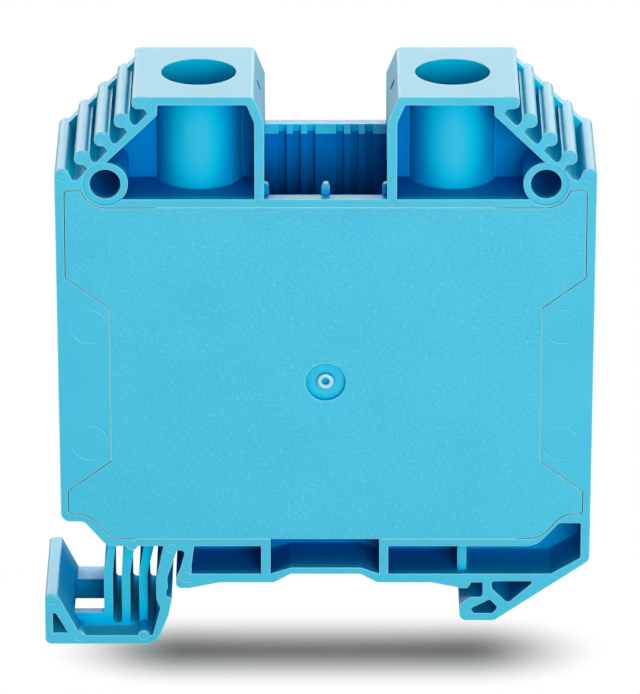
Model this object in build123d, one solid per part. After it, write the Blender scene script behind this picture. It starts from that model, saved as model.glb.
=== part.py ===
from build123d import *
import os

# Feed-through terminal block for 35 mm2 wires on a 35 mm mounting rail.
# Millimetres. X runs along the wires, Y across the block from the covered face to the back, Z up.
# The origin is the middle of the rail seat, half way through the block's width.

# Whole block
block_width = 16.0
half_length = 29.7
tower_top = 58.6
side_draft = 0.2

# Moulding walls
skin = 1.4
wall = 1.0
web = 2.0
seam_gap = 0.1
snug_gap = 0.02
ledge = 0.6
ledge_depth = 0.8

# Side cover: a plate with a waist, let into the front face
side_rim = 1.1
cover_top = 45.6
cover_bottom = 6.1
cover_ear_rise = 2.0
flap_width = 5.95
waist_top = 33.75
waist_bottom = 15.45
waist_slope = 3.65
lower_step_rise = 3.0
lower_step_rim = 3.25
lower_step_run = 2.55
lower_step_radius = 2.8
gate_radius = 2.25
gate_depth = 0.5
gate_nub_radius = 0.9
gate_hole_radius = 0.4
gate_z = 25.0

# Round bosses beside the towers
boss_inset = 5.55
boss_z = 48.4
boss_bore_radius = 1.7
boss_radius = 2.5
boss_relief = 0.15

# Towers with the screwdriver guide tubes
tower_x = 13.95
tower_inner = 6.75
tower_wall = 1.05
tower_slant_run = 1.2
tower_slant_drop = 3.0
roof = 0.95
roof_corner_wall = 2.5
guide_bore_radius = 4.15
guide_wall = 0.65
guide_depth = 5.9
guide_lip = 0.55
guide_lip_height = 1.2
tower_floor_wall = 1.05
dimple_radius = 0.65
dimple_depth = 0.3

# Finger ribs that step up the shoulders
rib_count = 4
rib_pitch_x = 2.2
rib_pitch_z = 2.16
rib_radius = 0.85
rib_start_z = 49.4
rib_wall = 0.8
rib_tip_back = 0.66
rib_tip_drop = 1.42
rib_root_run = 0.45
tower_brim = 0.25
rib_web = 1.6

# Marking valley between the towers
valley_front_wall = 1.45
valley_back_top = 50.0
comb_pitch = 1.6
comb_groove = 0.9
comb_depth = 0.85
comb_grooves_per_side = 3
peg_width = 0.9
peg_depth = 0.8
peg_rise = 1.3

# Clamping parts inside
wire_z = 24.2
wire_gap_open = 9.4
wire_bore_wall = 2.8
wire_funnel_flare = 1.2
wire_funnel_depth = 2.5
bar_play = 0.6
bar_thickness = 3.2
bar_half_length = 19.2
bar_groove_depth = 0.35
bar_groove_width = 0.9
bar_groove_pitch = 2.0
bar_grooves = 4
yoke_length = 11.4
yoke_play = 0.3
yoke_side_wall = 1.5
yoke_floor = 2.4
yoke_head = 3.8
yoke_head_clearance = 0.3
yoke_cell_clearance = 0.25
yoke_window_fillet = 1.2
yoke_outer_fillet = 2.0
screw_radius = 3.0
screw_thread_clearance = 0.05
screw_point_gap = 0.1
screw_point_bevel = 0.8
screw_head_radius = 4.0
screw_head_height = 4.0
screw_head_lift = 0.8
screw_slot_width = 1.2
screw_slot_depth = 1.8
bar_seat_clearance = 0.1
shelf = 1.0

# Tongues that hold the side cover
tongue_width = 2.4
tongue_height = 1.2
tongue_length = 4.5
tongue_clearance = 0.05
tongue_inset_x = 7.9
tongue_inset_z = 1.9

# Underside and rail seat
rail_half = 17.5
rail_thickness = 1.0
rail_clearance = 0.1
belly_z = 5.15
seat_flat = 0.7
seat_inset = 1.6
pad_rise = 0.7
arch_rise = 1.75
arch_half = 3.9
arch_foot_half = 5.8
arch_floor = 0.75
divider_half = 6.5
pocket_floor_z = 1.75

# Fixed hook, on the right
hook_reach = 2.5
hook_bottom = -3.95
hook_toe = 1.4
hook_corner_z = 3.4
hook_pocket_x = 15.25
hook_divider_setback = 1.1

# Springy snap foot, on the left
foot_bottom = -6.84
foot_floor = -5.84
foot_wall_top = -0.82
foot_wall = 1.4
foot_brace_foot = 3.95
foot_face_setback = 2.9
foot_pin_radius = 0.65
snap_lip_reach = 0.3
springs_width = 7.7
spring_slot_width = 1.0
spring_slot_pitch = 1.95
spring_slot_lean = 0.45
spring_slot_lean_step = 0.3
spring_slot_bottom = -5.6
foot_gap = 5.15
blade_slot_width = 3.55
blade_slot_front = -3.85
blade_slot_back = 4.35
blade_lip_top = -4.35
blade_block_top = -4.45

# Worked out from the sizes above
half_width = block_width / 2
face_back = half_width - skin
half_base = half_length - side_draft
cover_half = half_length - side_rim
waist_half = half_length - flap_width
lower_step_x = half_length - lower_step_rim
boss_x = half_length - boss_inset
wire_bore_radius = half_width - wire_bore_wall
wire_funnel_radius = wire_bore_radius + wire_funnel_flare
yoke_width = 2 * (face_back - yoke_play)
bar_width = yoke_width - 2 * (yoke_side_wall + bar_play)
seat_x = rail_half - seat_inset
hook_tip_x = rail_half - hook_reach
hook_toe_x = rail_half + hook_toe
snap_gap_x = -seat_x - 0.7 * wall
snap_gap_top = belly_z - 0.55 * wall
snap_lip_x = snap_lip_reach - rail_half
spring_left = snap_lip_x - springs_width
blade_slot_left = spring_left - blade_slot_width
foot_left = spring_left - foot_gap - foot_wall
foot_brace_x = foot_left + foot_brace_foot
foot_face = foot_face_setback - half_width
tower_floor = cover_top + tower_floor_wall
guide_radius = guide_bore_radius + guide_wall
chamber_top = cover_top - ledge
bar_bottom = wire_z + wire_gap_open / 2
bar_top = bar_bottom + bar_thickness
yoke_window_bottom = wire_z - wire_gap_open / 2
yoke_window_top = bar_top + yoke_head_clearance
yoke_bottom = yoke_window_bottom - yoke_floor
yoke_top = yoke_window_top + yoke_head
cell_half = yoke_length / 2 + yoke_cell_clearance
cell_inner = tower_x - cell_half
cell_outer = tower_x + cell_half
centre_cell_half = cell_inner - wall
screw_point = bar_top + screw_point_gap
screw_shoulder = chamber_top + screw_head_lift
rib_slope = rib_pitch_z / rib_pitch_x


def outline(*corners):
    """Closed flat shape in X and Z. Each corner is (x, z) or (x, z, rounding)."""
    points = [(corner[0], corner[1]) for corner in corners]
    roundings = [corner[2] if len(corner) == 3 else 0 for corner in corners]
    return make_face(FilletPolyline(*points, radius=roundings, close=True))


def rectangle(x_low, x_high, z_low, z_high):
    """Flat rectangle in X and Z between two corners."""
    return outline((x_low, z_low), (x_high, z_low), (x_high, z_high), (x_low, z_high))


def plate(shape, y_front, y_back):
    """A flat shape in X and Z, made solid from y_front to y_back."""
    return extrude(Plane.XZ.offset(-y_back) * shape, amount=y_back - y_front)


def through(shape):
    """A flat shape in X and Z, made solid over the whole width of the block."""
    return plate(shape, -half_width, half_width)


def pair(shape):
    """The shape together with its mirror image on the other side of X = 0."""
    return shape + mirror(shape, about=Plane.YZ)


def recess(shape, depth):
    """The same recess sunk into the front and into the back."""
    front = plate(shape, -half_width, depth - half_width)
    back = plate(shape, half_width - depth, half_width)
    return front + back


def block(x_low, x_high, y_low, y_high, z_low, z_high):
    """A plain box between two corners."""
    size = Box(x_high - x_low, y_high - y_low, z_high - z_low, align=(Align.MIN,) * 3)
    return Pos(x_low, y_low, z_low) * size


def rod_along_y(x, z, radius, y_front, y_back):
    """A round rod that lies across the block."""
    return plate(Pos(x, z) * Circle(radius), y_front, y_back)


def rib_centre(number):
    """Middle of a finger rib's round end. Number 0 is the outermost, on the right shoulder."""
    x = half_length - rib_radius - number * rib_pitch_x
    z = rib_start_z + number * rib_pitch_z
    return x, z


def shoulder_z(x):
    """Height of the sloping shoulder wall's outer face, where the pockets between ribs end."""
    first_x, first_z = rib_centre(1)
    return first_z - rib_tip_drop - (x - first_x + rib_tip_back) * rib_slope


def finger_rib(number):
    """One finger rib of the right shoulder, from inside the sloping wall to its round end."""
    x, z = rib_centre(number)
    foot = shoulder_z(x + rib_radius) - wall / 2
    return rectangle(x - rib_radius, x + rib_radius, foot, z) + Pos(x, z) * Circle(rib_radius)


def rib_pocket(number):
    """The hooked pocket between one finger rib and the next one in."""
    outer_x, outer_z = rib_centre(number)
    outer_x -= rib_radius
    root_x = outer_x - rib_root_run
    x, z = rib_centre(number + 1)
    inner_x = x + rib_radius
    if number == rib_count - 1:
        inner_x += tower_brim
    above = z + 3 * rib_radius
    underside = z - 0.97 * rib_radius
    return outline(
        (outer_x, above),
        (outer_x, outer_z),
        (root_x, shoulder_z(root_x), 0.44 * rib_radius),
        (x - rib_tip_back, z - rib_tip_drop, 0.2 * rib_radius),
        (x - 0.25 * rib_radius, underside, 0.3 * rib_radius),
        (inner_x, underside, 0.8 * rib_radius),
        (inner_x, above),
    )


def rib_back_web(number):
    """The wall that closes a rib pocket at the back as far as its hooked tip, level with the rib tops."""
    x, z = rib_centre(number)
    next_x, next_z = rib_centre(number + 1)
    start_x = x - 0.3 * rib_radius
    end_x = next_x - rib_tip_back - rib_wall / 4
    return outline(
        (start_x, shoulder_z(start_x) - rib_wall / 4),
        (start_x, z + 0.95 * rib_radius),
        (next_x, next_z + 0.65 * rib_radius),
        (end_x, next_z + 0.65 * rib_radius),
        (end_x, shoulder_z(end_x) - rib_wall / 4),
    )


def tower_outline():
    """Right tower with its shoulder filled up to the ribs' middles, before the pockets are cut."""
    last_x, last_z = rib_centre(rib_count)
    corner_x = last_x + rib_radius + tower_brim
    end_x = half_length - 2 * rib_radius
    return outline(
        (tower_inner, cover_top),
        (tower_inner, tower_top - tower_slant_drop, tower_wall),
        (tower_inner + tower_slant_run, tower_top, tower_wall / 2),
        (corner_x, tower_top, rib_radius / 2),
        (corner_x, last_z - (corner_x - last_x) * rib_slope),
        (end_x, last_z - (end_x - last_x) * rib_slope),
        (end_x, cover_top),
    )


def tower_pocket():
    """Open pocket of the right tower, round the guide tube and up to the boss."""
    inner_x = tower_inner + tower_wall
    corner_x = rib_centre(rib_count)[0] + rib_radius - roof_corner_wall
    drop = rib_wall * (1 + rib_slope**2) ** 0.5
    pocket = outline(
        (inner_x, tower_floor),
        (inner_x, tower_top - tower_slant_drop, tower_wall),
        (inner_x + 0.7 * tower_slant_run, tower_top - roof, 0.3 * tower_wall),
        (corner_x, tower_top - roof, 0.3 * tower_wall),
        (corner_x, shoulder_z(corner_x) - drop, 0.3 * tower_wall),
        (boss_x, shoulder_z(boss_x) - drop),
        (boss_x, tower_floor),
    )
    return pocket - Pos(boss_x, boss_z) * Circle(boss_radius)


def cover_half_outline(rounding=1.0):
    """Right half of the side cover, up to the arc that clears the round boss."""
    shape = outline(
        (0, cover_bottom),
        (lower_step_x - lower_step_run, cover_bottom, lower_step_radius * rounding),
        (lower_step_x, cover_bottom + lower_step_rise, lower_step_radius * rounding),
        (cover_half, cover_bottom + lower_step_rise, 0.4 * wall * rounding),
        (cover_half, waist_bottom - waist_slope),
        (waist_half, waist_bottom),
        (waist_half, waist_top),
        (cover_half, waist_top + waist_slope),
        (cover_half, cover_top + cover_ear_rise, 0.4 * wall * rounding),
        (boss_x, cover_top + cover_ear_rise),
        (boss_x, cover_top),
        (0, cover_top),
    )
    return shape - Pos(boss_x, boss_z) * Circle(boss_z - cover_top)


def cover_outline():
    """The whole outline of the side cover."""
    return pair(cover_half_outline())


def snug_edges():
    """Strips along the cover's top, bottom and waist that close the seam more tightly."""
    reach = seam_gap - snug_gap
    top_x = boss_x - 2 * (boss_z - cover_top)
    bottom_x = lower_step_x - 2 * lower_step_run
    strips = rectangle(-top_x, top_x, cover_top - wall, cover_top + reach)
    strips += rectangle(-bottom_x, bottom_x, cover_bottom - reach, cover_bottom + wall)
    return strips + pair(rectangle(waist_half - wall, waist_half + reach, waist_bottom, waist_top))


def trunk():
    """Body of the moulding from the belly to the top of the marking valley's back wall."""
    step_x = lower_step_x + wall / 2
    return outline(
        (-half_length, rib_start_z),
        (-tower_inner, rib_start_z),
        (-tower_inner, valley_back_top),
        (tower_inner, valley_back_top),
        (tower_inner, rib_start_z),
        (half_length, rib_start_z),
        (half_base, hook_corner_z, wall),
        (seat_x + wall, pad_rise),
        (seat_x + wall, belly_z),
        (snap_lip_x, belly_z),
        (lower_step_run - step_x, belly_z, 1.5 * wall),
        (-step_x, belly_z + lower_step_rise, wall),
        (-half_base, belly_z + lower_step_rise, wall),
    )


def rail_seat():
    """Belly wall over the rail with the two seat pads, an arch and the snap foot's gap."""
    return outline(
        (snap_gap_x, belly_z + wall / 2),
        (snap_gap_x, snap_gap_top),
        (-seat_x + 0.25 * wall, snap_gap_top, 0.4 * wall),
        (-seat_x - 0.3 * wall, 2.5 * wall, wall),
        (-seat_x - 0.85 * wall, 1.2 * wall, 0.4 * wall),
        (-seat_x - 0.85 * wall, 0, 0.6 * wall),
        (-seat_x + seat_flat, 0),
        (4 * wall - seat_x, pad_rise, 0.5 * wall),
        (-arch_foot_half, pad_rise, 0.4 * wall),
        (-arch_half, arch_rise, 0.4 * wall),
        (arch_half, arch_rise, 0.4 * wall),
        (arch_foot_half, pad_rise, 0.4 * wall),
        (seat_x - 4 * wall, pad_rise, 0.5 * wall),
        (seat_x - seat_flat, 0),
        (seat_x, 0, 0.1 * wall),
        (seat_x + 0.4 * wall, pad_rise, 0.2 * wall),
        (seat_x + 2 * wall, pad_rise),
        (seat_x + 2 * wall, belly_z + wall / 2),
    )


def fixed_hook():
    """Hook under the right end that catches the rail's edge."""
    notch_x = rail_half + rail_clearance
    under_rail = -rail_thickness - rail_clearance
    return outline(
        (notch_x, belly_z),
        (notch_x, under_rail, 0.35 * wall),
        (hook_tip_x + 1.3 * wall, under_rail, 0.5 * wall),
        (hook_tip_x, under_rail - 0.9 * wall, 0.3 * wall),
        (hook_tip_x, hook_bottom, 0.8 * wall),
        (hook_toe_x, hook_bottom, 0.7 * wall),
        (half_base, hook_corner_z, wall),
        (half_base, belly_z),
    )


def foot_frame():
    """Snap foot: sprung wall with the snap lip, base, slanting brace and outer wall."""
    lip_z = -rail_thickness - 0.3 * wall
    notch_x = -rail_half - 3.5 * rail_clearance
    return outline(
        (snap_gap_x, belly_z + wall / 2),
        (snap_gap_x, snap_gap_top),
        (notch_x + 0.1 * wall, 1.2 * wall, wall),
        (notch_x + 0.2 * wall, 0),
        (notch_x, -0.3 * wall),
        (notch_x, -rail_thickness),
        (snap_lip_x, lip_z, 0.2 * wall),
        (snap_lip_x - 0.4 * wall, lip_z - 2 * wall, wall),
        (snap_lip_x - 1.8 * wall, foot_bottom, 1.8 * wall),
        (foot_left, foot_bottom, 0.7 * wall),
        (foot_left, foot_wall_top, 0.5 * wall),
        (foot_left + foot_wall, foot_wall_top, 0.3 * wall),
        (foot_brace_x, foot_floor),
        (snap_lip_x - 2.2 * wall, foot_floor, 0.3 * wall),
        (snap_lip_x - 1.3 * wall, lip_z - 1.2 * wall, 0.3 * wall),
        (snap_lip_x - 1.75 * wall, lip_z, 0.4 * wall),
        (snap_lip_x - 1.75 * wall, wall, wall),
        (snap_lip_x - 0.9 * wall, belly_z),
        (snap_lip_x - 2 * wall, belly_z),
        (snap_lip_x - 2 * wall, belly_z + wall / 2),
    )


def foot_springs():
    """Thin upright springs between the foot's base and the belly, with the slots between them."""
    top = belly_z + lower_step_rise
    low = foot_floor - wall / 2
    thickest_z = -rail_thickness - 2.3 * wall
    springs = outline(
        (spring_left, low),
        (spring_left, wall / 2, 2 * wall),
        (spring_left + 0.8 * wall, belly_z + wall / 2),
        (spring_left + 0.8 * wall, top),
        (snap_lip_x - 0.6 * wall, top),
        (snap_lip_x - 0.6 * wall, snap_gap_top),
        (snap_lip_x - 1.5 * wall, wall),
        (snap_lip_x - 1.5 * wall, thickest_z),
        (snap_lip_x - 2.2 * wall, low),
    )
    for number in range(3):
        springs -= spring_slot(number)
    return springs


def spring_slot(number):
    """One of the slots between the springs. Each leans a little more than the one before."""
    left = spring_left + wall + number * spring_slot_pitch
    right = left + spring_slot_width
    lean = spring_slot_lean + number * spring_slot_lean_step
    bend = wall / 2
    return outline(
        (left, spring_slot_bottom, 0.45 * spring_slot_width),
        (left, bend, 2 * wall),
        (left + lean, belly_z, 0.3 * spring_slot_width),
        (right + lean, belly_z, 0.3 * spring_slot_width),
        (right, bend, 2 * wall),
        (right, spring_slot_bottom, 0.45 * spring_slot_width),
    )


def belly_pockets():
    """Hollows of the belly and of the fixed hook, seen under the cover."""
    left = outline(
        (-seat_x + 1.2 * wall, belly_z, 0.2 * wall),
        (-divider_half - 0.7 * wall, belly_z),
        (-divider_half - 0.7 * wall, pocket_floor_z),
        (-seat_x + 0.9 * wall, pocket_floor_z),
        (-seat_x + 0.9 * wall, pocket_floor_z + wall, 0.4 * wall),
    )
    middle = outline(
        (-divider_half + 0.35 * wall, cover_bottom),
        (divider_half - 0.5 * wall, cover_bottom),
        (divider_half - 0.5 * wall, pocket_floor_z),
        (arch_half, arch_rise + arch_floor),
        (-arch_half, arch_rise + arch_floor),
        (-divider_half + 0.35 * wall, pocket_floor_z),
    )
    right = outline(
        (divider_half + 0.5 * wall, belly_z),
        (hook_pocket_x - wall / 2, belly_z),
        (hook_pocket_x - wall / 2, pocket_floor_z),
        (divider_half + 0.5 * wall, pocket_floor_z),
    )
    step_x = lower_step_x - 0.4 * wall
    side_x = half_base - wall
    end = outline(
        (hook_pocket_x + wall / 2, belly_z),
        (step_x - lower_step_run, belly_z, 0.9 * lower_step_radius),
        (step_x, belly_z + lower_step_rise - 0.2 * wall, 0.8 * wall),
        (side_x, belly_z + lower_step_rise - 0.2 * wall, 0.2 * wall),
        (side_x, hook_corner_z + 0.3 * wall, 0.4 * wall),
        (side_x - 3.3 * wall, pocket_floor_z),
        (hook_pocket_x + wall / 2, pocket_floor_z),
    )
    return left + middle + right + end


def hook_pockets():
    """The three-sided pocket and the small rounded one in the fixed hook."""
    top = pocket_floor_z - 0.9 * wall
    notch_x = rail_half + rail_clearance
    three_sided = outline(
        (notch_x + wall, top, 0.3 * wall),
        (notch_x + 5.8 * wall, top, 0.2 * wall),
        (notch_x + 3.05 * wall, top - 2.5 * wall, 0.2 * wall),
        (notch_x + 2.6 * wall, top - 2.5 * wall),
        (notch_x + wall, top - 0.9 * wall, 0.5 * wall),
    )
    low = hook_bottom + 0.85 * wall
    small = outline(
        (hook_tip_x + 1.6 * wall, low, 0.3 * wall),
        (hook_tip_x + 1.2 * wall, low + 0.6 * wall, 0.3 * wall),
        (hook_tip_x + 2.6 * wall, low + 1.3 * wall),
        (hook_tip_x + 3.4 * wall, low + 1.75 * wall, 0.3 * wall),
        (hook_tip_x + 4.3 * wall, low + 0.7 * wall, 0.3 * wall),
        (hook_tip_x + 3.7 * wall, low, 0.3 * wall),
    )
    return three_sided + small


def foot_pocket():
    """Three-sided pocket between the foot's outer wall and its brace."""
    left = foot_left + 0.85 * wall
    low = foot_bottom + 1.35 * wall
    high = low + 2.4 * wall
    return outline((left, low), (left, high), (left + 0.35 * wall, high), (left + 1.7 * wall, low))


def chamber_cells():
    """Space behind the cover, less the walls that part it into cells."""
    cells = offset(pair(cover_half_outline(rounding=0)), amount=-ledge, kind=Kind.INTERSECTION)
    above = cover_top + block_width
    walls = rectangle(cell_inner - wall, cell_inner, 0, above)
    walls += rectangle(cell_outer, cell_outer + wall, 0, above)
    walls += rectangle(cell_outer, cover_half, chamber_top, above)
    walls += outline(
        (cell_outer, waist_bottom),
        (cover_half, waist_bottom - waist_slope),
        (cover_half, waist_top + waist_slope),
        (cell_outer, waist_top),
    )
    bar_shelf = rectangle(-centre_cell_half, centre_cell_half, bar_bottom - shelf, bar_bottom)
    return cells - pair(walls) - bar_shelf


def bar_notches():
    """Notches in the cell walls, open to the front, through which the current bar is laid in."""
    notch = block(
        cell_inner - wall,
        cell_inner,
        -face_back,
        bar_width / 2 + bar_seat_clearance,
        bar_bottom,
        bar_top + bar_seat_clearance,
    )
    return pair(notch)


def wire_entry():
    """Funnel and straight bore through which the right wire enters."""
    mouth = Pos(half_length - wire_funnel_depth, 0, wire_z) * Rot(0, 90, 0) * Cone(
        wire_bore_radius,
        wire_funnel_radius,
        wire_funnel_depth,
        align=(Align.CENTER, Align.CENTER, Align.MIN),
    )
    length = half_length - cell_outer
    bore = Pos(cell_outer, 0, wire_z) * Rot(0, 90, 0) * Cylinder(
        wire_bore_radius, length, align=(Align.CENTER, Align.CENTER, Align.MIN)
    )
    return mouth + bore


def driver_guide():
    """Bore of the right guide tube: wide above and below, with a lip that keeps the screw in."""
    profile = outline(
        (tower_x, chamber_top),
        (tower_x + guide_bore_radius, chamber_top),
        (tower_x + guide_bore_radius, tower_top - guide_depth - guide_lip_height),
        (tower_x + guide_bore_radius - guide_lip, tower_top - guide_depth - guide_lip_height),
        (tower_x + guide_bore_radius - guide_lip, tower_top - guide_depth),
        (tower_x + guide_bore_radius, tower_top - guide_depth),
        (tower_x + guide_bore_radius, tower_top),
        (tower_x, tower_top),
    )
    return revolve(Plane.XZ * profile, axis=Axis((tower_x, 0, 0), (0, 0, 1)))


def upright_cylinder(x, radius, z_low, z_high):
    """A cylinder that stands on Z, half way through the block's width."""
    standing = (Align.CENTER, Align.CENTER, Align.MIN)
    return Pos(x, 0, z_low) * Cylinder(radius, z_high - z_low, align=standing)


def valley():
    """Open space between the towers and the two walls, down into the centre cell."""
    front = valley_front_wall - half_width
    back = face_back
    low = chamber_top - wall / 2
    step = cover_top + ledge
    shaft = block(-tower_inner, tower_inner, ledge_depth - face_back, back, low, tower_top)
    shaft += block(-tower_inner, tower_inner, front, back, step, tower_top)
    return shaft + block(-tower_inner, tower_inner, -half_width, back, tower_floor, tower_top)


def comb():
    """Comb of upright bars on the valley's back wall, sloping away at their tops."""
    front = face_back - comb_depth
    root = face_back + comb_depth / 2
    low = bar_top + shelf
    profile = make_face(Polyline(
        (front, low), (root, low), (root, valley_back_top), (face_back, valley_back_top),
        (front, valley_back_top - comb_depth), close=True,
    ))
    bars = extrude(Plane.YZ.offset(-tower_inner) * profile, amount=2 * tower_inner)
    for side in (-1, 1):
        for number in range(1, comb_grooves_per_side + 1):
            middle = side * number * comb_pitch
            half = comb_groove / 2
            bars -= block(middle - half, middle + half, front, face_back, low, valley_back_top)
    return bars


def valley_pegs():
    """Small round-topped pegs on the inside of the valley's front wall."""
    front = valley_front_wall - half_width
    low = cover_top + ledge / 2
    top = tower_floor + peg_rise
    half = peg_width / 2
    pegs = outline((-half, low), (half, low), (half, top, 0.9 * half), (-half, top, 0.9 * half))
    corner_x = tower_inner - 0.6 * peg_width
    pegs += pair(outline((corner_x, low), (tower_inner, low), (tower_inner, top), (corner_x, top, half)))
    return plate(pegs, front, front + peg_depth)


def slant_dimples():
    """Small round dimple in the slanting inner face of each tower."""
    middle_x = tower_inner + tower_slant_run / 2
    middle_z = tower_top - tower_slant_drop / 2
    face = Plane(origin=(middle_x, 0, middle_z), z_dir=(-tower_slant_drop, 0, tower_slant_run))
    return pair(face * Pos(0, 0, -dimple_depth) * Cylinder(
        dimple_radius, 2 * dimple_depth, align=(Align.CENTER, Align.CENTER, Align.MIN)
    ))


def tongue_sites():
    """Places of the four tongues that hold the side cover."""
    sites = []
    for side in (-1, 1):
        x = side * (half_length - tongue_inset_x)
        sites.append((x, waist_top - tongue_inset_z))
        sites.append((x, waist_bottom + tongue_inset_z))
    return sites


def tongue(x, z, play=0.0):
    """One tongue behind the cover, or its slot in the housing when it's given some play."""
    half_x = tongue_width / 2 + play
    half_z = tongue_height / 2 + play
    shape = rectangle(x - half_x, x + half_x, z - half_z, z + half_z)
    return plate(shape, -face_back, tongue_length + 2 * play - face_back)


def make_housing():
    """The insulating housing: one moulding with towers, ribs, rail hook and snap foot."""
    shape = trunk() + pair(tower_outline()) + rail_seat() + fixed_hook()
    for number in range(rib_count):
        shape += pair(finger_rib(number))
    for number in range(rib_count):
        shape -= pair(rib_pocket(number))
    housing = through(shape + foot_frame())
    housing += plate(foot_springs(), foot_face, half_width)
    for number in range(rib_count):
        housing += plate(pair(rib_back_web(number)), half_width - rib_web, half_width)

    deep = half_width - web / 2
    tube = pair(upright_cylinder(tower_x, guide_radius, tower_floor - wall, tower_top))
    housing -= recess(pair(tower_pocket()), deep) - tube
    housing -= recess(belly_pockets() + hook_pockets() + foot_pocket(), deep)
    divider = rectangle(hook_pocket_x - wall, hook_pocket_x + wall, pocket_floor_z, belly_z)
    housing -= plate(divider, -half_width, hook_divider_setback - half_width)
    cover_seat = offset(cover_outline(), amount=seam_gap, kind=Kind.INTERSECTION)
    housing -= plate(cover_seat, -half_width, -face_back)
    housing -= plate(chamber_cells(), -face_back, face_back)
    housing -= bar_notches() + valley() + slant_dimples()
    housing += valley_pegs() + comb()
    housing -= pair(wire_entry()) + pair(driver_guide())
    for side in (-1, 1):
        housing -= rod_along_y(side * boss_x, boss_z, boss_bore_radius, -half_width, half_width)
        housing -= recess(Pos(side * boss_x, boss_z) * Circle(boss_radius), boss_relief)
    for x, z in tongue_sites():
        housing -= tongue(x, z, play=tongue_clearance)
    return foot_details(housing)


def foot_details(housing):
    """The foot's slot for a screwdriver blade with its lip and block, and the ejector pins' bosses."""
    below = foot_bottom - wall
    for x, z in (
        (foot_brace_x - 0.1 * wall, foot_floor - 0.1 * wall),
        (snap_lip_x - 3.2 * wall, foot_floor),
        (snap_lip_x - 4.4 * wall, belly_z + 0.15 * wall),
    ):
        housing += rod_along_y(x, z, foot_pin_radius, -half_width, foot_face + wall / 2)
    housing += block(blade_slot_left, spring_left, foot_face, blade_slot_front, foot_floor, blade_lip_top)
    housing += block(blade_slot_left, spring_left, blade_slot_back, half_width, foot_floor, blade_block_top)
    return housing - block(blade_slot_left, spring_left, blade_slot_front, blade_slot_back, below, 0)


def make_cover():
    """Side cover: a plate with a moulding gate in the middle and four tongues on the inside."""
    cover = plate(cover_outline() + snug_edges(), -half_width, -face_back)
    cover -= rod_along_y(0, gate_z, gate_radius, -half_width, gate_depth - half_width)
    cover += rod_along_y(0, gate_z, gate_nub_radius, -half_width + gate_depth / 4, -face_back)
    cover -= rod_along_y(0, gate_z, gate_hole_radius, -half_width, gate_depth - half_width)
    for x, z in tongue_sites():
        cover += tongue(x, z)
    return cover


def make_current_bar():
    """Current bar of tinned copper, with grip grooves under both ends."""
    bar = block(-bar_half_length, bar_half_length, -bar_width / 2, bar_width / 2, bar_bottom, bar_top)
    bar = chamfer(bar.edges().filter_by(Axis.Y), bar_groove_depth)
    for side in (-1, 1):
        for number in range(bar_grooves):
            x = side * tower_x + (number - (bar_grooves - 1) / 2) * bar_groove_pitch
            half = bar_groove_width / 2
            tip = (x, bar_bottom + bar_groove_depth)
            groove = outline((x - half, bar_bottom), (x + half, bar_bottom), tip)
            bar -= plate(groove, -bar_width / 2, bar_width / 2)
    return bar


def make_clamp_yoke(side):
    """Steel clamping yoke: a closed frame round bar and wire, threaded in its head."""
    half = yoke_width / 2
    inside = half - yoke_side_wall
    frame = outline(
        (-half, yoke_bottom, yoke_outer_fillet),
        (half, yoke_bottom, yoke_outer_fillet),
        (half, yoke_top, yoke_outer_fillet / 2),
        (-half, yoke_top, yoke_outer_fillet / 2),
    )
    frame -= outline(
        (-inside, yoke_window_bottom, yoke_window_fillet),
        (inside, yoke_window_bottom, yoke_window_fillet),
        (inside, yoke_window_top, yoke_window_fillet / 4),
        (-inside, yoke_window_top, yoke_window_fillet / 4),
    )
    middle = side * tower_x
    yoke = extrude(Plane.YZ.offset(middle - yoke_length / 2) * frame, amount=yoke_length)
    return yoke - upright_cylinder(middle, screw_radius + screw_thread_clearance, yoke_window_top, yoke_top)


def make_clamp_screw(side):
    """Slotted clamping screw that stands on the bar, with its head in the guide tube."""
    head_top = screw_shoulder + screw_head_height
    profile = outline(
        (0, screw_point),
        (screw_radius - screw_point_bevel, screw_point),
        (screw_radius, screw_point + screw_point_bevel),
        (screw_radius, screw_shoulder),
        (screw_head_radius, screw_shoulder),
        (screw_head_radius, head_top),
        (0, head_top),
    )
    screw = revolve(Plane.XZ * profile, axis=Axis.Z)
    half = screw_slot_width / 2
    slot_floor = head_top - screw_slot_depth
    screw -= block(-half, half, -screw_head_radius, screw_head_radius, slot_floor, head_top)
    return Pos(side * tower_x, 0, 0) * screw


def main():
    os.makedirs("parts", exist_ok=True)
    nodes = {
        "housing": make_housing(),
        "side_cover": make_cover(),
        "current_bar": make_current_bar(),
        "clamp_yoke_left": make_clamp_yoke(-1),
        "clamp_yoke_right": make_clamp_yoke(1),
        "clamp_screw_left": make_clamp_screw(-1),
        "clamp_screw_right": make_clamp_screw(1),
    }
    for name, solid in nodes.items():
        export_step(solid, f"parts/{name}.step")


main()
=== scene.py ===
import math

import bpy
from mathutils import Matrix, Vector


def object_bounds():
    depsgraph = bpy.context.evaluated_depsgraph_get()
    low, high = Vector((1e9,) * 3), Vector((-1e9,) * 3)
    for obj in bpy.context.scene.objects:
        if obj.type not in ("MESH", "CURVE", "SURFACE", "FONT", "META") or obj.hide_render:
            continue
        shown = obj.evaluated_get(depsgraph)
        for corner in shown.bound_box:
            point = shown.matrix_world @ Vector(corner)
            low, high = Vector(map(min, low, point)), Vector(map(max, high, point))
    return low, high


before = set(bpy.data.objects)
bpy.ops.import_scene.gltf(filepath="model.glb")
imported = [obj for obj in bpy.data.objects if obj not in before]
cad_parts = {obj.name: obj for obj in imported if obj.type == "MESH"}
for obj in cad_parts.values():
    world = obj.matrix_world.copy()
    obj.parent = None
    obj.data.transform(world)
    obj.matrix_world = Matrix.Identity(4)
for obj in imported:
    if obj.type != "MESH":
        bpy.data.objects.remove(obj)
cad_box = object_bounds()

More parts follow.
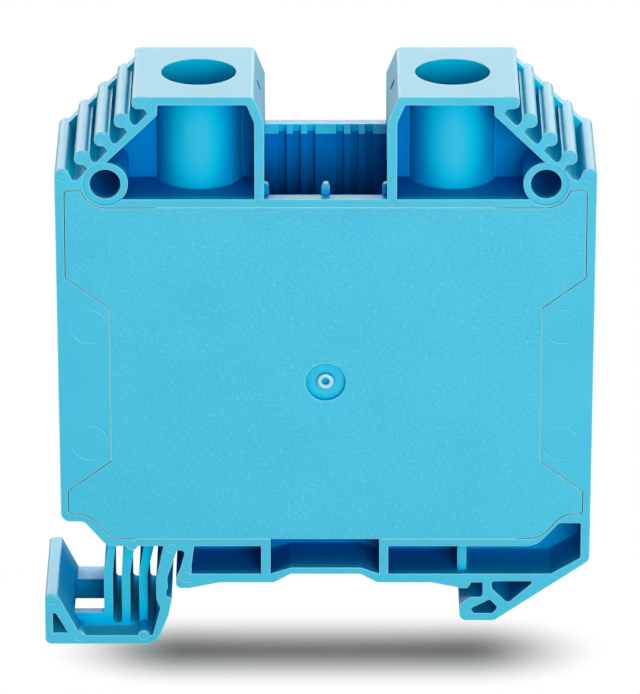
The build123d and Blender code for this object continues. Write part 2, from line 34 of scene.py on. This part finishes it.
# Sizes in metres
MM = 0.001
FRONT_Y = cad_box[0].y
EDGE_RADIUS = 0.18 * MM
ERODED_GRAIN = 0.4 * MM
ERODED_DEPTH = 0.05 * MM
MOULD_GRAIN = 0.5 * MM
MOULD_DEPTH = 0.01 * MM
CLOUD_SIZE = 9 * MM
PLATE_CLOUD_SIZE = 2.5 * MM
SCRATCH_SIZE = 0.4 * MM
SCRATCH_DEPTH = 0.01 * MM
RECESS_REACH = 14 * MM

# Share of the edge rounding that bends the surface, and strength of the painted highlight line
# that is drawn along rounded edges
EDGE_SHARE = 0.35
RIM_HIGHLIGHT_STRENGTH = 0.9

# Samples of the nodes that look at the surface round a point
EDGE_SAMPLES = 6
RECESS_SAMPLES = 8

# Zones of the mouldings, in metres, where recesses take painted light instead of painted shade, for
# light that comes through thin walls: above the sloping shoulders, in and around the guide tubes, in
# the snap foot and the hook, along the top of the valley's back wall and just behind the front face.
# The rest of that back wall keeps its painted shade. Each edge is the width over which a zone fades
ZONE_EDGE = 0.1 * MM
SHOULDER_SUM = 75.7 * MM
SHOULDER_EDGE = 0.3 * MM
TOWER_X = 13.95 * MM
TUBE_RADIUS = 4.9 * MM
TUBE_BORE = 4.2 * MM
TUBE_BOTTOM = 44 * MM
FOOT_START = 14.8 * MM
FOOT_TOP = 4.6 * MM
FOOT_EDGE = 0.3 * MM
FOOT_FLOOR = -5.5 * MM
FRONT_RIM = 0.7 * MM
FRONT_SKIN = 0.05 * MM
FRONT_SKIN_EDGE = 0.15 * MM
VALLEY_HALF = 6.7 * MM
VALLEY_FLOOR = 33 * MM
VALLEY_TOP = 49.15 * MM
VALLEY_TOP_EDGE = 0.05 * MM
VALLEY_FRONT = -5 * MM
VALLEY_BACK = 6.8 * MM

# Openness is 1 on open faces. These are the ranges, from open to closed, over which a face takes
# the painted shade of a recess, the darker painted shade of a deep recess, and a matte surface, and
# the range, from closed to open, over which an edge takes its painted highlight line
RECESS_RANGE = (0.95, 0.6)
RECESS_RANGE_LIT = (0.88, 0.7)
DEEP_RANGE = (0.5, 0.15)
DEEP_RANGE_LIT = (0.6, 0.3)
MATTE_RANGE = (0.95, 0.7)
MATTE_RANGE_UPWARD = (0.5, 0.35)
RIM_HIGHLIGHT_RANGE = (0.7, 0.9)

# Share of a surface direction that points up, from upright faces to those that count as upward, and
# how far a rounded direction still agrees with the plain one, from flat faces to full edges
UPWARD_RANGE = (0.3, 0.6)
FLAT_TO_EDGE = (0.995, 0.8)

# What openness is multiplied by in the valley, and the least openness of the bores with the gaps
# between the ribs, and of the floor inside the foot. Openness sets the painted shade in these places
VALLEY_OPENNESS = 0.2
BORE_OPENNESS = 0.6
FOOT_FLOOR_OPENNESS = 0.85

# Parts of the noise that show as clouds, speckles and scratches
CLOUD_RANGE = (0.35, 0.65)
SPECKLE_RANGE = (0.55, 0.8)
PLATE_CLOUD_RANGE = (0.35, 0.7)
SCRATCH_RANGE = (0.3, 0.7)

# Sheen and roughness of the plastic, and how much smoother and rougher scratches make the plate
OPEN_SPECULAR = 0.5
OPEN_ROUGHNESS = 0.45
MATTE_ROUGHNESS = 0.85
SCRATCH_SMOOTHER, SCRATCH_ROUGHER = 0.08, 0.1

# Round marks that the mould's pins left on the front: x, z and radius in millimetres. The marks on
# the ribs' ends climb in even steps. Each ring gets a shallow dent and a painted highlight
RIB_MARK_RADIUS = 0.62
RIB_MARK_X, RIB_MARK_Z = 28.85, 49.4
RIB_STEP_X, RIB_STEP_Z = -2.2, 2.16
RIB_COUNT = 5
RIB_MARKS = [
    (RIB_MARK_X + RIB_STEP_X * number, RIB_MARK_Z + RIB_STEP_Z * number, RIB_MARK_RADIUS)
    for number in range(RIB_COUNT)
]
BOTH_SIDE_MARKS = [(26.1, 31.6, 2.0), (26.1, 17.65, 2.0), (7.25, 46.4, 0.5)] + RIB_MARKS
FOOT_MARKS = [
    (-30.73, -1.4, 0.6), (-27.6, -5.94, 0.5), (-20.4, -5.84, 0.5),
    (-21.6, 5.3, 0.55), (-17.2, 4.9, 0.55), (-15.6, 1.37, 0.6),
]
MARK_LINE = 0.2 * MM
MARK_DEPTH = 0.05 * MM
MARK_HIGHLIGHT_STRENGTH = 0.5

# Torn rim of the gate in the middle of the cover
GATE_X, GATE_Z = 0, 25 * MM
GATE_RIM = 0.66 * MM
GATE_RIM_WIDTH = 0.36 * MM
GATE_RIM_HEIGHT = 0.05 * MM

# The photograph's view: 22 degrees down from in front, through a long lens
CAMERA_PLACE = (-0.62 * MM, -740.85 * MM, 330.2 * MM)
CAMERA_TILT = 22.33
CAMERA_SENSOR = 36.0
CAMERA_LENS = 372.1

# The floor, the middle of the painted shadow ellipse on it where the grey floor shows and the lamps'
# shadow falls, and how far round that it fades to white
FLOOR_Z = cad_box[0].z - 0.01 * MM
FLOOR_HALF = 3.0
SHADOW_HALF = 15.5 * MM
SHADOW_Y = -9.8 * MM
SHADOW_SQUEEZE = 1.6
SHADOW_FADE = 16.5 * MM

# Strength of the surroundings, and the point that the lamps are turned to
WORLD_STRENGTH = 0.13
LAMP_AIM = (0, 0, 30 * MM)

# Colours, as linear red, green and blue
# The floor's grey shows only inside the painted shadow ellipse, where the lamps' real shadow also
# falls
FLOOR_GREY = (0.4, 0.345, 0.315, 1)
WHITE = (1, 1, 1, 1)
SKY_BLUE = (0.025, 0.53, 0.77, 1)
SKY_BLUE_SOFT = (0.032, 0.555, 0.785, 1)
# Painted light, for recesses where light comes through thin walls
LIT_BLUE = (0.0, 0.56, 0.82, 1)
# Painted shade, for recesses and for deep recesses
RECESS_SHADE_BLUE = (0.0, 0.28, 0.62, 1)
DEEP_SHADE_BLUE = (0.0, 0.16, 0.5, 1)
# Pale blue of the random speckles, and of the painted highlight along the pin marks
SPECKLE_AND_HIGHLIGHT_BLUE = (0.25, 0.72, 0.93, 1)
# Painted highlight along rounded edges
RIM_HIGHLIGHT_BLUE = (0.45, 0.9, 1.0, 1)
TORN_WHITE = (0.8, 0.88, 0.92, 1)
ZINC = (0.62, 0.63, 0.65, 1)
ZINC_DULL = (0.5, 0.51, 0.52, 1)
TIN = (0.72, 0.71, 0.68, 1)
TIN_DULL = (0.58, 0.57, 0.54, 1)


class Material:
    """A node material with short ways to add and join its nodes.

    A node has sockets of the same name for each type of data, so some are taken by number.
    """

    def __init__(self, name):
        self.data = bpy.data.materials.new(name)
        self.data.use_nodes = True
        self.tree = self.data.node_tree
        self.shader = self.tree.nodes["Principled BSDF"]
        self.output = self.tree.nodes["Material Output"]

    def add(self, kind, **settings):
        """A new node with the given properties."""
        node = self.tree.nodes.new(kind)
        for key, value in settings.items():
            setattr(node, key, value)
        return node

    def join(self, source, target):
        """Joins an output socket to an input socket."""
        self.tree.links.new(source, target)

    def fill(self, socket, value):
        """Gives an input socket another node's output, or else a plain number or colour."""
        if isinstance(value, bpy.types.NodeSocket):
            self.join(value, socket)
        else:
            socket.default_value = value

    def set(self, **values):
        """Fills the shader's own sockets, with underscores for spaces in their names."""
        for key, value in values.items():
            self.fill(self.shader.inputs[key.replace("_", " ")], value)

    def place(self):
        """The point on the object, in metres."""
        return self.add("ShaderNodeTexCoord").outputs["Object"]

    def coordinates(self):
        """The point's x, y and z on the object."""
        node = self.add("ShaderNodeSeparateXYZ")
        self.join(self.place(), node.inputs[0])
        return node.outputs

    def noise(self, size, detail, roughness=0.5, stretch=(1, 1, 1)):
        """Noise with features of about the given size in metres."""
        scaled = self.add("ShaderNodeVectorMath", operation="MULTIPLY")
        self.join(self.place(), scaled.inputs[0])
        scaled.inputs[1].default_value = stretch
        node = self.add("ShaderNodeTexNoise")
        node.inputs["Scale"].default_value = 1 / size
        node.inputs["Detail"].default_value = detail
        node.inputs["Roughness"].default_value = roughness
        self.join(scaled.outputs[0], node.inputs["Vector"])
        return node.outputs["Fac"]

    def spread(self, value, from_low, from_high, to_low=0.0, to_high=1.0, kind="LINEAR"):
        """The value stretched from one range to another, and held inside it."""
        node = self.add("ShaderNodeMapRange", interpolation_type=kind)
        for socket, number in zip(node.inputs[1:5], (from_low, from_high, to_low, to_high)):
            socket.default_value = number
        self.join(value, node.inputs["Value"])
        return node.outputs["Result"]

    def above(self, value, limit, edge=ZONE_EDGE):
        """0 up to the limit, and 1 from the edge's width above it."""
        return self.spread(value, limit, limit + edge)

    def below(self, value, limit, edge=ZONE_EDGE):
        """1 up to the limit, and 0 from the edge's width above it."""
        return self.spread(value, limit + edge, limit)

    def sums(self, operation, first, second=0.0):
        """The result of a sum on sockets or numbers."""
        node = self.add("ShaderNodeMath", operation=operation)
        self.fill(node.inputs[0], first)
        self.fill(node.inputs[1], second)
        return node.outputs[0]

    def chain(self, operation, values):
        """The result of the same sum on all values in turn."""
        total = values[0]
        for value in values[1:]:
            total = self.sums(operation, total, value)
        return total

    def all_of(self, *masks):
        """1 where every mask is 1."""
        return self.chain("MULTIPLY", masks)

    def any_of(self, *masks):
        """1 where at least one mask is 1."""
        return self.chain("MAXIMUM", masks)

    def mix(self, factor, first, second):
        """A blend of two colours. Each is a colour or a socket."""
        node = self.add("ShaderNodeMix", data_type="RGBA")
        for number, value in ((0, factor), (6, first), (7, second)):
            self.fill(node.inputs[number], value)
        return node.outputs[2]

    def blend(self, factor, first, second):
        """A number between two others."""
        node = self.add("ShaderNodeMix", data_type="FLOAT")
        for number, value in ((0, factor), (2, first), (3, second)):
            self.fill(node.inputs[number], value)
        return node.outputs[0]

    def plain_normal(self):
        """Surface direction without rounding or bumps."""
        return self.add("ShaderNodeNewGeometry").outputs["Normal"]

    def rounded_edges(self):
        """Surface direction with the moulding's small edge rounding."""
        node = self.add("ShaderNodeBevel", samples=EDGE_SAMPLES)
        node.inputs["Radius"].default_value = EDGE_RADIUS
        return node.outputs["Normal"]

    def softened(self, rounded):
        """Surface direction with only part of the edge rounding."""
        node = self.add("ShaderNodeMix", data_type="VECTOR")
        for number, value in ((0, EDGE_SHARE), (4, self.plain_normal()), (5, rounded)):
            self.fill(node.inputs[number], value)
        unit = self.add("ShaderNodeVectorMath", operation="NORMALIZE")
        self.join(node.outputs[1], unit.inputs[0])
        return unit.outputs[0]

    def edge_mask(self, rounded):
        """1 on the small edge rounding and 0 on flat faces."""
        node = self.add("ShaderNodeVectorMath", operation="DOT_PRODUCT")
        self.join(rounded, node.inputs[0])
        self.join(self.plain_normal(), node.inputs[1])
        return self.spread(node.outputs["Value"], *FLAT_TO_EDGE)

    def upward(self):
        """1 on faces that look up and 0 on upright ones."""
        node = self.add("ShaderNodeSeparateXYZ")
        self.join(self.add("ShaderNodeTexCoord").outputs["Normal"], node.inputs[0])
        return self.spread(node.outputs[2], *UPWARD_RANGE)

    def openness(self):
        """1 on open faces and less where other faces close the surface in."""
        node = self.add("ShaderNodeAmbientOcclusion", samples=RECESS_SAMPLES, only_local=True)
        node.inputs["Distance"].default_value = RECESS_REACH
        return node.outputs["AO"]

    def distance(self, across, up, centre_across, centre_up):
        """Distance in a plane between a point and a centre."""
        sides = (self.sums("SUBTRACT", across, centre_across), self.sums("SUBTRACT", up, centre_up))
        squares = [self.sums("MULTIPLY", side, side) for side in sides]
        return self.sums("SQRT", self.sums("ADD", *squares))

    def ring(self, across, up, centre_across, centre_up, radius, width):
        """1 on a thin circle and 0 away from it."""
        off = self.sums("SUBTRACT", self.distance(across, up, centre_across, centre_up), radius)
        return self.spread(self.sums("ABSOLUTE", off), width / 2, 0)

    def bump(self, height, depth, normal):
        """Surface direction with a bump of the given depth in metres."""
        node = self.add("ShaderNodeBump")
        node.inputs["Strength"].default_value = 1.0
        node.inputs["Distance"].default_value = depth
        self.join(height, node.inputs["Height"])
        self.join(normal, node.inputs["Normal"])
        return node.outputs["Normal"]


def valley_back(made):
    """1 on the marking valley's back wall."""
    x, y, z = made.coordinates()
    return made.all_of(
        made.below(made.sums("ABSOLUTE", x), VALLEY_HALF),
        made.above(y, VALLEY_FRONT),
        made.below(y, VALLEY_BACK),
        made.above(z, VALLEY_FLOOR),
    )


def foot_floor(made):
    """1 on the floor inside the foot."""
    x, y, z = made.coordinates()
    return made.all_of(made.upward(), made.below(z, FOOT_FLOOR))


def guide_tubes(made, radius):
    """1 inside the given radius round the guide tubes' axes, from the tubes' bottom up."""
    x, y, z = made.coordinates()
    off_axis = made.distance(made.sums("ABSOLUTE", x), y, TOWER_X, 0)
    return made.all_of(made.below(off_axis, radius), made.above(z, TUBE_BOTTOM))


def shoulder_sum(made):
    """Distance from the block's middle plus height, which is even all along a sloping shoulder."""
    x, y, z = made.coordinates()
    return made.sums("ADD", made.sums("ABSOLUTE", x), z)


def thin_wall_light(made):
    """1 where recesses take painted light, for light that comes through thin walls into a recess."""
    x, y, z = made.coordinates()
    foot_and_hook = made.all_of(
        made.above(made.sums("ABSOLUTE", x), FOOT_START, FOOT_EDGE),
        made.below(z, FOOT_TOP, FOOT_EDGE),
    )
    return made.any_of(
        made.above(shoulder_sum(made), SHOULDER_SUM - SHOULDER_EDGE, 2 * SHOULDER_EDGE),
        guide_tubes(made, TUBE_RADIUS),
        foot_and_hook,
        made.all_of(valley_back(made), made.above(z, VALLEY_TOP, VALLEY_TOP_EDGE)),
        made.below(y, FRONT_Y + FRONT_RIM, FRONT_RIM),
    )


def corrected(made, measured):
    """Openness for the painted shade: lowered in the valley, raised in the bores, between ribs and in
    the foot.
    """
    x, y, z = made.coordinates()
    valley = made.all_of(valley_back(made), made.below(z, VALLEY_TOP, VALLEY_TOP_EDGE))
    ribs = made.above(shoulder_sum(made), SHOULDER_SUM, SHOULDER_EDGE)
    bores_and_ribs = made.any_of(guide_tubes(made, TUBE_BORE), ribs)
    return made.any_of(
        made.sums("MULTIPLY", measured, made.spread(valley, 0, 1, 1, VALLEY_OPENNESS)),
        made.sums("MULTIPLY", bores_and_ribs, BORE_OPENNESS),
        made.sums("MULTIPLY", foot_floor(made), FOOT_FLOOR_OPENNESS),
    )


def with_painted_shade(made, colour, openness):
    """The colour with painted shade in recesses, and painted light where thin walls let light in."""
    lit = thin_wall_light(made)
    recess = made.spread(openness, *RECESS_RANGE)
    recess_lit = made.spread(openness, *RECESS_RANGE_LIT)
    recess_shade = made.mix(made.spread(openness, *DEEP_RANGE), RECESS_SHADE_BLUE, DEEP_SHADE_BLUE)
    recess_shade_lit = made.mix(made.spread(openness, *DEEP_RANGE_LIT), LIT_BLUE, RECESS_SHADE_BLUE)
    return made.mix(made.blend(lit, recess, recess_lit), colour, made.mix(lit, recess_shade, recess_shade_lit))


def dull_recesses(made, openness, measured):
    """Takes the sheen off recesses, but off faces that look up only where they lie deep."""
    upright = made.sums("SUBTRACT", 1, made.upward())
    matte = made.any_of(
        made.all_of(made.spread(openness, *MATTE_RANGE), upright),
        made.spread(measured, *MATTE_RANGE_UPWARD),
        foot_floor(made),
    )
    made.set(Specular_IOR_Level=made.spread(matte, 0, 1, OPEN_SPECULAR, 0))
    made.set(Roughness=made.spread(matte, 0, 1, OPEN_ROUGHNESS, MATTE_ROUGHNESS))


def moulded_plastic(name, grain, grain_depth, speckling):
    """Blue moulded thermoplastic, with the colour and surface direction that marks are added to."""
    made = Material(name)
    made.set(IOR=1.6, Subsurface_Weight=0.3, Subsurface_Scale=1.5 * MM)
    made.set(Subsurface_Radius=(0.15, 0.6, 1.0))
    cloud = made.spread(made.noise(CLOUD_SIZE, detail=3), *CLOUD_RANGE)
    speckle = made.spread(made.noise(grain, detail=1), *SPECKLE_RANGE, 0, speckling)
    colour = made.mix(speckle, made.mix(cloud, SKY_BLUE_SOFT, SKY_BLUE), SPECKLE_AND_HIGHLIGHT_BLUE)
    measured = made.openness()
    openness = corrected(made, measured)
    dull_recesses(made, openness, measured)
    rounded = made.rounded_edges()
    # A painted highlight line along rounded edges of open faces
    rim_highlight = made.all_of(made.edge_mask(rounded), made.spread(openness, *RIM_HIGHLIGHT_RANGE, 0, RIM_HIGHLIGHT_STRENGTH))
    colour = made.mix(rim_highlight, with_painted_shade(made, colour, openness), RIM_HIGHLIGHT_BLUE)
    grained = made.noise(grain, detail=2.5, roughness=0.6)
    return made, colour, made.bump(grained, grain_depth, made.softened(rounded))


def pin_marks(made):
    """1 along the round marks on the front face."""
    x, y, z = made.coordinates()
    mirrored = made.sums("ABSOLUTE", x)
    rings = [
        made.ring(across, z, centre_x * MM, centre_z * MM, radius * MM, MARK_LINE)
        for across, marks in ((mirrored, BOTH_SIDE_MARKS), (x, FOOT_MARKS))
        for centre_x, centre_z, radius in marks
    ]
    return made.all_of(made.any_of(*rings), made.below(y, FRONT_Y + FRONT_SKIN, FRONT_SKIN_EDGE))


def housing_plastic():
    """Smooth plastic of the housing with its round pin marks, painted lighter along their rings as a
    highlight.
    """
    made, colour, surface = moulded_plastic("moulding", MOULD_GRAIN, MOULD_DEPTH, speckling=0.1)
    marks = pin_marks(made)
    # A painted highlight along the pin marks' rings
    made.set(Base_Color=made.mix(made.sums("MULTIPLY", marks, MARK_HIGHLIGHT_STRENGTH), colour, SPECKLE_AND_HIGHLIGHT_BLUE))
    made.set(Normal=made.bump(marks, -MARK_DEPTH, surface))
    return made.data


def cover_plastic():
    """Finely eroded plastic of the cover, with the torn gate in its middle."""
    made, colour, surface = moulded_plastic("eroded_cover", ERODED_GRAIN, ERODED_DEPTH, speckling=0.3)
    x, y, z = made.coordinates()
    torn = made.ring(x, z, GATE_X, GATE_Z, GATE_RIM, GATE_RIM_WIDTH)
    made.set(Base_Color=made.mix(torn, colour, TORN_WHITE))
    made.set(Normal=made.bump(torn, GATE_RIM_HEIGHT, surface))
    return made.data


def plated_metal(name, bright, dull, roughness, stretch=(1, 1, 1)):
    """Plated metal with dull clouds and fine scratches, which the stretch draws out."""
    made = Material(name)
    cloud = made.spread(made.noise(PLATE_CLOUD_SIZE, detail=4), *PLATE_CLOUD_RANGE)
    scratches = made.noise(SCRATCH_SIZE, detail=3, stretch=stretch)
    made.set(Metallic=1.0, Base_Color=made.mix(cloud, bright, dull))
    smooth, rough = roughness - SCRATCH_SMOOTHER, roughness + SCRATCH_ROUGHER
    made.set(Roughness=made.spread(scratches, *SCRATCH_RANGE, smooth, rough))
    made.set(Normal=made.bump(scratches, SCRATCH_DEPTH, made.rounded_edges()))
    return made.data


def dress_nodes():
    """Gives every CAD node its material."""
    bar = plated_metal("tinned_copper", TIN, TIN_DULL, roughness=0.38, stretch=(0.1, 1, 1))
    yoke = plated_metal("zinc_plate", ZINC, ZINC_DULL, roughness=0.34)
    screw = plated_metal("turned_zinc", ZINC, ZINC_DULL, roughness=0.3, stretch=(1, 1, 6))
    materials = {
        "housing": housing_plastic(),
        "side_cover": cover_plastic(),
        "current_bar": bar,
        "clamp_yoke_left": yoke,
        "clamp_yoke_right": yoke,
        "clamp_screw_left": screw,
        "clamp_screw_right": screw,
    }
    for name, material in materials.items():
        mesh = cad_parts[name].data
        mesh.materials.clear()
        mesh.materials.append(material)


def white_for_camera(made, share):
    """Mixes plain white into a stage material for what the camera and reflections see."""
    path = made.add("ShaderNodeLightPath")
    seen = made.any_of(path.outputs["Is Camera Ray"], path.outputs["Is Glossy Ray"])
    white = made.add("ShaderNodeEmission")
    white.inputs["Color"].default_value = WHITE
    blend = made.add("ShaderNodeMixShader")
    made.join(made.all_of(seen, share), blend.inputs[0])
    made.join(made.shader.outputs[0], blend.inputs[1])
    made.join(white.outputs[0], blend.inputs[2])
    made.join(blend.outputs[0], made.output.inputs["Surface"])


def floor_material():
    """Pale floor that fades to white away from the object; the grey ellipse near it is a painted
    shadow, with the lamps' real shadow on it.
    """
    made = Material("floor")
    made.set(Base_Color=FLOOR_GREY, Roughness=0.9)
    x, y, z = made.coordinates()
    across = made.sums("MAXIMUM", made.sums("SUBTRACT", made.sums("ABSOLUTE", x), SHADOW_HALF), 0)
    along = made.sums("MULTIPLY", made.sums("SUBTRACT", y, SHADOW_Y), SHADOW_SQUEEZE)
    away = made.distance(across, along, 0, 0)
    white_for_camera(made, made.spread(away, 0, SHADOW_FADE, kind="SMOOTHSTEP"))
    return made.data


def make_floor():
    """A wide floor under the snap foot."""
    corners = [(x * FLOOR_HALF, y * FLOOR_HALF, 0) for x, y in ((-1, -1), (1, -1), (1, 1), (-1, 1))]
    mesh = bpy.data.meshes.new("floor")
    mesh.from_pydata(corners, [], [(0, 1, 2, 3)])
    mesh.materials.append(floor_material())
    floor = bpy.data.objects.new("floor", mesh)
    floor.location.z = FLOOR_Z
    bpy.context.scene.collection.objects.link(floor)


def make_world():
    """Even pale surroundings, plain white where the camera or a reflection sees them."""
    world = bpy.data.worlds.new("surroundings")
    bpy.context.scene.world = world
    world.use_nodes = True
    nodes, links = world.node_tree.nodes, world.node_tree.links
    light = nodes["Background"]
    light.inputs["Color"].default_value = WHITE
    light.inputs["Strength"].default_value = WORLD_STRENGTH
    white = nodes.new("ShaderNodeBackground")
    white.inputs["Color"].default_value = WHITE
    path = nodes.new("ShaderNodeLightPath")
    seen = nodes.new("ShaderNodeMath")
    seen.operation = "MAXIMUM"
    links.new(path.outputs["Is Camera Ray"], seen.inputs[0])
    links.new(path.outputs["Is Glossy Ray"], seen.inputs[1])
    blend = nodes.new("ShaderNodeMixShader")
    links.new(seen.outputs[0], blend.inputs[0])
    links.new(light.outputs[0], blend.inputs[1])
    links.new(white.outputs[0], blend.inputs[2])
    links.new(blend.outputs[0], nodes["World Output"].inputs["Surface"])


def make_lamp(name, place, width, height, power):
    """A soft rectangular lamp turned to the block, with its place and size in metres."""
    data = bpy.data.lights.new(name, "AREA")
    data.shape = "RECTANGLE"
    data.size = width
    data.size_y = height
    data.energy = power
    lamp = bpy.data.objects.new(name, data)
    lamp.location = place
    lamp.rotation_euler = (Vector(LAMP_AIM) - Vector(place)).to_track_quat("-Z", "Y").to_euler()
    bpy.context.scene.collection.objects.link(lamp)


def make_lamps():
    """Soft studio light: overhead, in front, at the side, and low behind for sheen on level faces."""
    make_lamp("overhead", (0.03, 0.3, 0.65), width=0.4, height=0.4, power=0.4)
    make_lamp("front", (0.22, -0.9, 0.14), width=0.5, height=0.5, power=8.6)
    make_lamp("side", (-0.75, -0.35, 0.3), width=0.4, height=0.4, power=0.4)
    make_lamp("sheen", (0, 0.95, 0.29), width=1.2, height=0.58, power=9.4)


def make_camera():
    """Camera at the photograph's place and tilt."""
    data = bpy.data.cameras.new("camera")
    data.sensor_width = CAMERA_SENSOR
    data.lens = CAMERA_LENS
    camera = bpy.data.objects.new("camera", data)
    camera.location = CAMERA_PLACE
    camera.rotation_euler = (math.radians(90 - CAMERA_TILT), 0, 0)
    bpy.context.scene.collection.objects.link(camera)
    bpy.context.scene.camera = camera


dress_nodes()
make_floor()
make_world()
make_lamps()
make_camera()
bpy.context.scene.view_settings.view_transform = "Standard"
